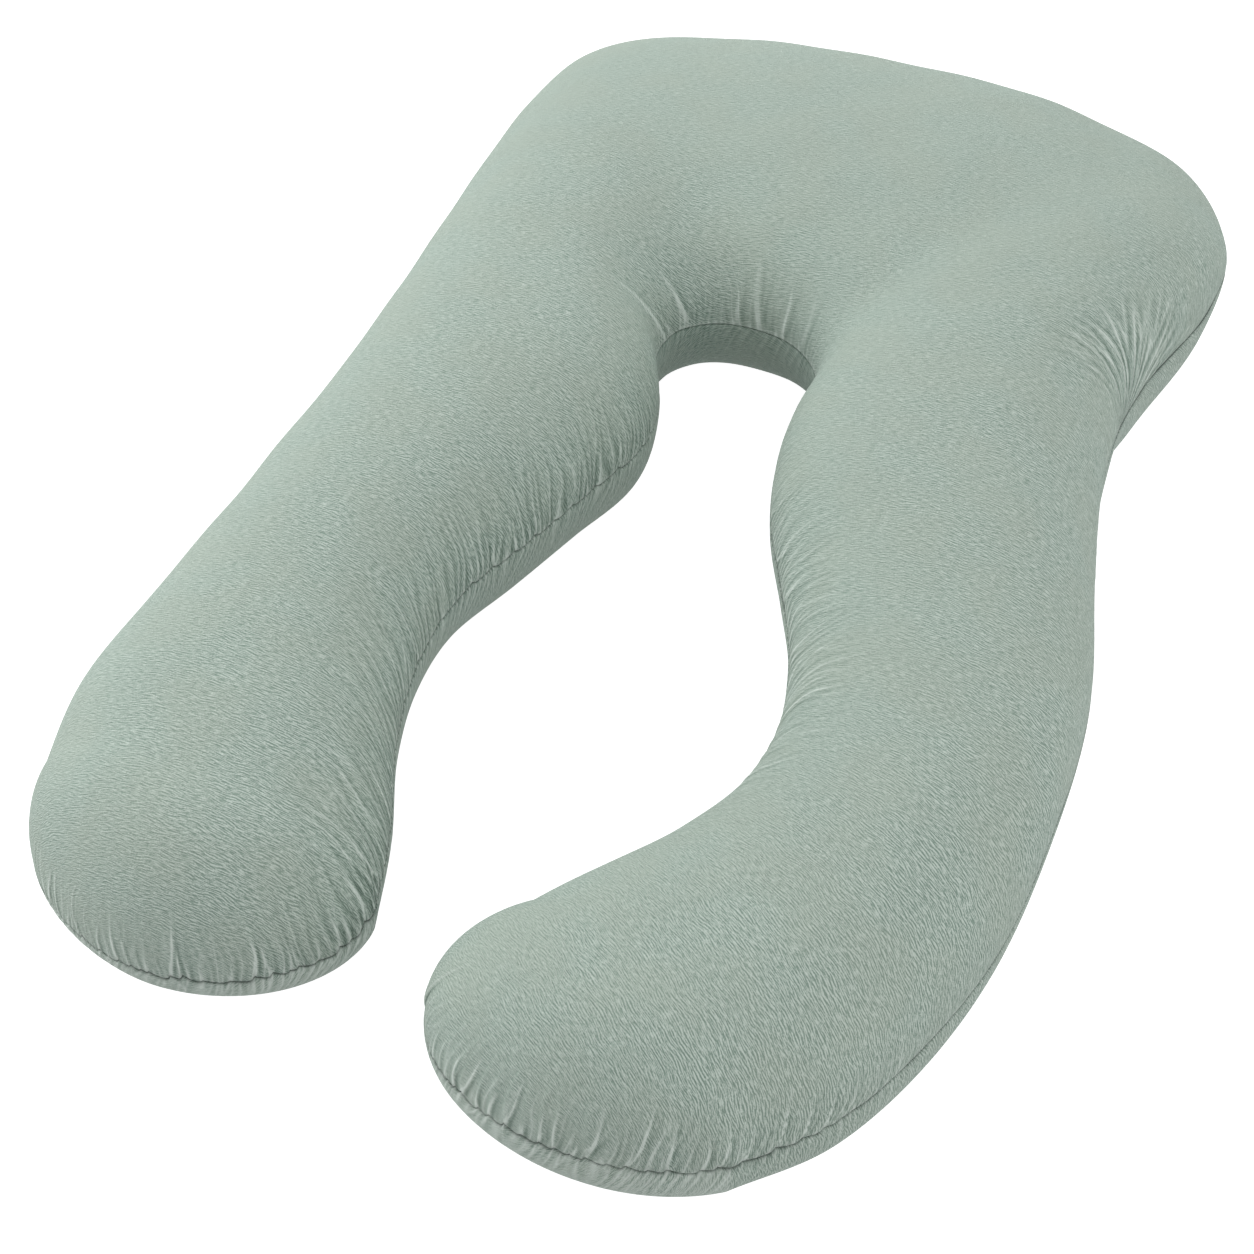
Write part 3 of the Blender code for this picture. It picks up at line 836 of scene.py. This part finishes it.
def build_under(ring, rng, notch, thickness, gathers):
    """The under panel, flat where it lies, with the caps' creases carried on a little below the seam."""
    strength, _, lean, seam_painted_shadow = gathers
    points = place_points(ring, *under_profile(ring))
    down = up_from_seam(points, True)
    points[..., 2] += notch[:, None] * np.exp(-((down / NOTCH_DOWN) ** 2))
    through = [
        crease._replace(length=22 + 4 * crease.height, lean=8 - 0.2 * crease.lean, height=0.45 * crease.height)
        for crease in CREASES
        if crease.start == 0 and crease.side in (1, 3)
    ]
    creases = through + band_creases(UNDER_BANDS, rng, ring, UNDER_LEAN)
    field, shade = crease_field(ring, creases, down, closeness(points, 0), rng)
    field *= UNDER_CREASES * np.clip(points[..., 2] / 25, 0, 1) * np.clip((down - 2) / 8, 0, 1)
    neck = (ring["side"] == 2) * np.clip((4.5 - np.abs(ring["place"] - 12.5)) / 1.5, 0, 1)
    maps = dict(
        cloth=cloth_coordinates(ring, points, True),
        gather=gather_coordinates(ring, down, 0 * lean + 0.3),
        fan=gather_coordinates(ring, down, 0 * lean),
    )
    shades = dict(
        # the seam's dark line: painted shadow of the groove
        seam=seam_painted_shadow[:, None] * np.exp(-((down / (SEAM_WIDE_UNDER * thickness[:, None])) ** 2)),
        # the creases' painted light and shade, plus painted light under the legs' ends and painted shade under the
        # neck
        fold=0.5 * shade + (0.8 * on_caps(ring) - 0.8 * neck)[:, None],
        gathered=0.8 * strength[:, None] * np.clip(1 - down / 70, 0, 1),
        fanned=np.zeros(down.shape),
        relief=np.full(down.shape, 1.0),
    )
    full = points + outward_normals(points, False) * field[..., None]
    return panel("cover_under", full, maps, shared_middle(ring), -1, shades)


def build_cover():
    """Both panels, from one loop of spokes so that they meet all along the seam."""
    rng = np.random.default_rng(SEED)
    ring = loop()
    pinched(ring)
    gathers = gather_values(ring)
    creases = CREASES + band_creases(UPPER_BANDS, rng, ring, UPPER_LEAN)
    notch = notches(ring, creases)
    ring["seam_z"] = ring["seam_z"] + lifted(ring)
    thickness = seam_thickness(ring, rng)
    upper = build_upper(ring, rng, creases, notch, thickness, gathers)
    under = build_under(ring, rng, notch, thickness, gathers)
    return upper, under


def faces_outward(piece, upward):
    """Turns the panel's faces out if they came in."""
    mesh = piece.data
    total = sum(face.normal.z * face.area for face in mesh.polygons)
    if (total > 0) != upward:
        mesh.flip_normals()


class Nodes:
    """Short ways to add and join a material's nodes."""

    def __init__(self, name):
        self.material = bpy.data.materials.new(name)
        self.material.use_nodes = True
        self.tree = self.material.node_tree
        self.shader = self.tree.nodes["Principled BSDF"]

    def add(self, kind, inputs=None, **settings):
        node = self.tree.nodes.new(kind)
        for key, value in settings.items():
            setattr(node, key, value)
        for key, value in (inputs or {}).items():
            if isinstance(value, bpy.types.NodeSocket):
                self.tree.links.new(value, node.inputs[key])
            else:
                node.inputs[key].default_value = value
        return node

    def math(self, operation, a, b=0.0, clamp=False):
        return self.add("ShaderNodeMath", {0: a, 1: b}, operation=operation, use_clamp=clamp).outputs[0]

    def total(self, *shares):
        """The sum of some values, each times its share."""
        parts = [value if share == 1 else self.math("MULTIPLY", value, share) for value, share in shares]
        result = parts[0]
        for part in parts[1:]:
            result = self.math("ADD", result, part)
        return result

    def stretch(self, value, low, high, to_low=0.0, to_high=1.0):
        node = self.add(
            "ShaderNodeMapRange",
            {"Value": value, "From Min": low, "From Max": high, "To Min": to_low, "To Max": to_high},
        )
        return node.outputs["Result"]

    def noise(self, vector, scale=1.0, detail=0.0):
        node = self.add(
            "ShaderNodeTexNoise",
            {"Vector": vector, "Scale": scale, "Detail": detail, "Roughness": 0.5},
            noise_dimensions="2D",
        )
        return node.outputs["Fac"]

    def scaled(self, vector, x, y):
        node = self.add("ShaderNodeMapping", {"Vector": vector, "Scale": (x, y, 1.0)})
        return node.outputs["Vector"]

    def shifted(self, vector, by):
        return self.add("ShaderNodeVectorMath", {0: vector, 1: by}, operation="ADD").outputs["Vector"]

    def wavering(self, vector, waves, axis, size):
        """The vector moved to and fro along one axis by a slow noise."""
        move = self.math("MULTIPLY", self.centred(waves), size)
        return self.shifted(vector, self.add("ShaderNodeCombineXYZ", {axis: move}).outputs["Vector"])

    def centred(self, value):
        return self.math("SUBTRACT", value, 0.5)

    def line(self, vector, sharp):
        """A thin wandering line wherever the noise crosses its middle value."""
        away = self.math("ABSOLUTE", self.centred(self.noise(vector)))
        return self.math("SUBTRACT", 1.0, self.math("MULTIPLY", away, sharp), clamp=True)

    def uv(self, name):
        return self.add("ShaderNodeUVMap", uv_map=name).outputs["UV"]

    def attribute(self, name):
        return self.add("ShaderNodeAttribute", attribute_name=name).outputs["Fac"]

    def mix(self, factor, first, second, blend="MIX"):
        # a mix node's inputs 6 and 7 and its output 2 are the ones that hold colours
        node = self.add("ShaderNodeMix", {0: factor, 6: first, 7: second}, data_type="RGBA", blend_type=blend)
        return node.outputs[2]


# The yarns of the cover and the colours of its painted highlights and painted shadows, in linear colour.
DARK_YARN = (0.212, 0.288, 0.244, 1.0)
SAGE_YARN = (0.342, 0.415, 0.367, 1.0)
PALE_YARN = (0.492, 0.568, 0.516, 1.0)
CREST_PAINTED_HIGHLIGHT = (0.64, 0.71, 0.66, 1.0)
WARM_YARN = (0.372, 0.416, 0.350, 1.0)
SHADOW = (0.52, 0.58, 0.55, 1.0)
DEEP_PAINTED_SHADOW = (0.030, 0.046, 0.037, 1.0)
# The knit on the flat cloth: how many streaks, grains and wrinkles there are to a metre, along a row and across the
# rows, how many patches of wrinkles, clouds of colour and waves of a row, and how high a wave is in metres.
STREAKS = (150, 860)
GRAINS = (600, 1250)
WRINKLES = (36, 290)
WRINKLE_PATCHES = 26.0
CLOUDS = 14.0
ROW_WAVES = 42.0
ROW_WAVE_HEIGHT = 0.004
# The same for the gathers and the fan, along the seam and up from it, with the gathers' bends and how far they go.
GATHER_LINES = (120, 11)
GATHER_BENDS = (26, 18)
GATHER_WANDER = 0.014
FAN_LINES = (210, 7)
# How narrow the lines are drawn, and how far beside a line its shadow lies, as a share of the noise's cell.
GATHER_SHARP = 7.0
GATHER_SHADOW_SHARP = 4.0
WRINKLE_SHARP = 6.0
SHADOW_SHIFT = 0.34
EMBOSS_SHIFT = 0.45
# How high the knit and the gathers are raised, in metres.
KNIT_HEIGHT = 0.0012
GATHER_HEIGHT = 0.0010
# Brightness of the studio above, of what comes back from below, and of the floor; how far the floor reaches.
SKY = 0.84
BOUNCE = 0.42
FLOOR_GLOW = 0.94
FLOOR_REACH = 8
# Soft lights: name, place in metres and watts. All are aimed at the middle of the pillow.
LIGHTS = [
    ("left", (-2.6, -0.4, 1.3), 38),
    ("back", (-1.4, 2.4, 1.6), 20),
    ("right", (2.9, 0.5, 0.9), 16),
    ("front", (1.7, -2.3, 1.0), 4),
]
LIGHT_TARGET = (0.0, 0.0, 0.1)
LIGHT_SIZE = 1.5
# The photograph's angle.
CAMERA_PLACE = (0.4625, -1.3344, 1.4829)
CAMERA_TARGET = (-0.0286, -0.1178, 0.0)
CAMERA_LENS = 60.0
CAMERA_SENSOR = 36.0


def gather_lines(made, flat, across, along):
    """Thin raised ridges up from the seam, with a painted highlight along each and painted shadow beside it."""
    spread = made.scaled(flat, across, along)
    ridge = made.line(spread, GATHER_SHARP)
    dark = made.line(made.shifted(spread, (SHADOW_SHIFT, 0.0, 0.0)), GATHER_SHADOW_SHARP)
    return ridge, made.math("SUBTRACT", ridge, made.math("MULTIPLY", dark, 0.75))


def gathers_and_fan(made):
    """The fine gathers along the seam and the fan of folds at the pinch: their height, and their painted light and
    shade.
    """
    flat = made.uv("gather")
    flat = made.wavering(flat, made.noise(made.scaled(flat, *GATHER_BENDS)), "X", GATHER_WANDER)
    ridge, line = gather_lines(made, flat, *GATHER_LINES)
    fan_ridge, fan_line = gather_lines(made, made.uv("fan"), *FAN_LINES)
    strong = made.attribute("gathered")
    fanned = made.math("MULTIPLY", made.attribute("fanned"), 1.4)
    return made.total((ridge, strong), (fan_ridge, fanned)), made.total((line, strong), (fan_line, fanned))


def wrinkles(made, flat):
    """Sparse thin folds along the knit's rows, in colour only: a painted highlight with a painted shadow line below
    each.
    """
    spread = made.scaled(flat, *WRINKLES)
    pale = made.line(spread, WRINKLE_SHARP)
    dark = made.line(made.shifted(spread, (0.0, SHADOW_SHIFT, 0.0)), WRINKLE_SHARP)
    together = made.stretch(made.noise(flat, WRINKLE_PATCHES), 0.35, 0.62)
    return made.math("MULTIPLY", made.math("SUBTRACT", pale, made.math("MULTIPLY", dark, 0.8)), together)


def knit(made):
    """The knit's height, and how pale each spot is from 0 to 1: streaks, grain, and the painted shading of relief and
    wrinkles.
    """
    cloth = made.uv("cloth")
    wavy = made.wavering(cloth, made.noise(cloth, ROW_WAVES), "Y", ROW_WAVE_HEIGHT)
    spread = made.scaled(wavy, *STREAKS)
    streak = made.noise(spread)
    # painted light and shade of the streaks' relief: pale on one side of a streak, dark on the other
    streak_painted_shading = made.math("SUBTRACT", streak, made.noise(made.shifted(spread, (0.0, EMBOSS_SHIFT, 0.0))))
    grain = made.noise(made.scaled(cloth, *GRAINS))
    height = made.total((streak, 0.55), (grain, 0.45))
    lit = made.total((made.centred(height), 1), (wrinkles(made, wavy), 0.11), (streak_painted_shading, 0.7))
    return height, made.stretch(made.math("MULTIPLY", lit, made.attribute("relief")), -0.24, 0.24)


def heather(made, pale):
    """The yarns from dark to pale, with warmer clouds."""
    colour = made.mix(made.stretch(pale, 0.0, 0.5), DARK_YARN, SAGE_YARN)
    colour = made.mix(made.stretch(pale, 0.5, 1.0), colour, PALE_YARN)
    cloudy = made.noise(made.uv("cloth"), CLOUDS, 1.0)
    return made.mix(made.stretch(cloudy, 0.35, 0.65, 0.0, 0.22), colour, WARM_YARN)


def jersey(name):
    """Heathered jersey, raised a little, with painted crest highlights, painted trough shade and a painted seam
    shadow line.
    """
    made = Nodes(name)
    height, pale = knit(made)
    gathers, painted_gather_shading = gathers_and_fan(made)
    # the painted highlights and shade of creases, gathers and the seam's edge, in one value
    fold = made.total((made.attribute("fold"), 1), (painted_gather_shading, 2.2))
    colour = heather(made, pale)
    # painted highlight on crests
    colour = made.mix(made.stretch(fold, 0.2, 1.7, 0.0, 0.85), colour, CREST_PAINTED_HIGHLIGHT)
    # painted shade in troughs
    colour = made.mix(made.stretch(fold, -0.1, -1.8), colour, SHADOW, "MULTIPLY")
    # the darkest painted shadow, mostly in the overhang's gap
    colour = made.mix(made.stretch(fold, -1.8, -4.0, 0.0, 0.75), colour, DEEP_PAINTED_SHADOW)
    # the seam's line of painted shadow
    colour = made.mix(made.attribute("seam"), colour, DEEP_PAINTED_SHADOW)
    raised = made.total((height, KNIT_HEIGHT), (gathers, GATHER_HEIGHT))
    bump = made.add("ShaderNodeBump", {"Height": raised, "Distance": 1.0, "Strength": 1.0})
    links = made.tree.links
    links.new(colour, made.shader.inputs["Base Color"])
    links.new(bump.outputs["Normal"], made.shader.inputs["Normal"])
    links.new(made.stretch(height, 0.3, 0.7, 0.98, 0.86), made.shader.inputs["Roughness"])
    made.shader.inputs["Specular IOR Level"].default_value = 0.2
    made.shader.inputs["Sheen Weight"].default_value = 0.26
    made.shader.inputs["Sheen Roughness"].default_value = 0.35
    made.shader.inputs["Sheen Tint"].default_value = (0.78, 0.92, 0.83, 1.0)
    return made.material


def plain_floor():
    """A plain white floor, bright enough that no shadow shows on it, as in the photograph."""
    mesh = bpy.data.meshes.new("floor")
    corners = [(-1, -1), (1, -1), (1, 1), (-1, 1)]
    mesh.from_pydata([(FLOOR_REACH * x, FLOOR_REACH * y, 0) for x, y in corners], [], [(0, 1, 2, 3)])
    floor = bpy.data.objects.new("floor", mesh)
    bpy.context.scene.collection.objects.link(floor)
    made = Nodes("floor_white")
    made.shader.inputs["Base Color"].default_value = (0.42, 0.42, 0.42, 1.0)
    made.shader.inputs["Roughness"].default_value = 0.9
    made.shader.inputs["Specular IOR Level"].default_value = 0.1
    made.shader.inputs["Emission Color"].default_value = (1.0, 1.0, 1.0, 1.0)
    made.shader.inputs["Emission Strength"].default_value = FLOOR_GLOW
    mesh.materials.append(made.material)
    floor.visible_diffuse = False
    floor.visible_shadow = False
    return floor


def aimed(obj, place, target):
    """Puts a camera or a light at its place and turns it to its target."""
    back = (Vector(place) - Vector(target)).normalized()
    right = Vector((0, 0, 1)).cross(back).normalized()
    up = back.cross(right)
    turn = Matrix((right, up, back)).transposed().to_4x4()
    obj.matrix_world = Matrix.Translation(Vector(place)) @ turn
    return obj


def soft_light(name, place, power):
    light = bpy.data.lights.new(name, "AREA")
    light.shape = "DISK"
    light.size = LIGHT_SIZE
    light.energy = power
    obj = bpy.data.objects.new(name, light)
    bpy.context.scene.collection.objects.link(obj)
    return aimed(obj, place, LIGHT_TARGET)


def studio():
    """An even pale room, brighter above than below."""
    world = bpy.data.worlds.new("studio")
    bpy.context.scene.world = world
    world.use_nodes = True
    sky = world.node_tree.nodes
    links = world.node_tree.links
    sky["Background"].inputs["Color"].default_value = (1.0, 1.0, 1.0, 1.0)
    direction = sky.new("ShaderNodeTexCoord")
    split = sky.new("ShaderNodeSeparateXYZ")
    links.new(direction.outputs["Generated"], split.inputs[0])
    level = sky.new("ShaderNodeMapRange")
    links.new(split.outputs["Z"], level.inputs["Value"])
    for socket, value in {"From Min": -0.15, "From Max": 0.15, "To Min": BOUNCE, "To Max": SKY}.items():
        level.inputs[socket].default_value = value
    links.new(level.outputs["Result"], sky["Background"].inputs["Strength"])


upper_cover, under_cover = build_cover()
faces_outward(upper_cover, True)
faces_outward(under_cover, False)
cover_cloth = jersey("jersey_cover")
for piece in (upper_cover, under_cover):
    piece.data.materials.append(cover_cloth)
    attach(piece, "root")
    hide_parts("pillow")

plain_floor()

studio()
for name, place, power in LIGHTS:
    soft_light(name, place, power)

camera_data = bpy.data.cameras.new("camera")
camera_data.lens = CAMERA_LENS
camera_data.sensor_width = CAMERA_SENSOR
camera = bpy.data.objects.new("camera", camera_data)
bpy.context.scene.collection.objects.link(camera)
aimed(camera, CAMERA_PLACE, CAMERA_TARGET)
bpy.context.scene.camera = camera
bpy.context.scene.view_settings.view_transform = "Standard"
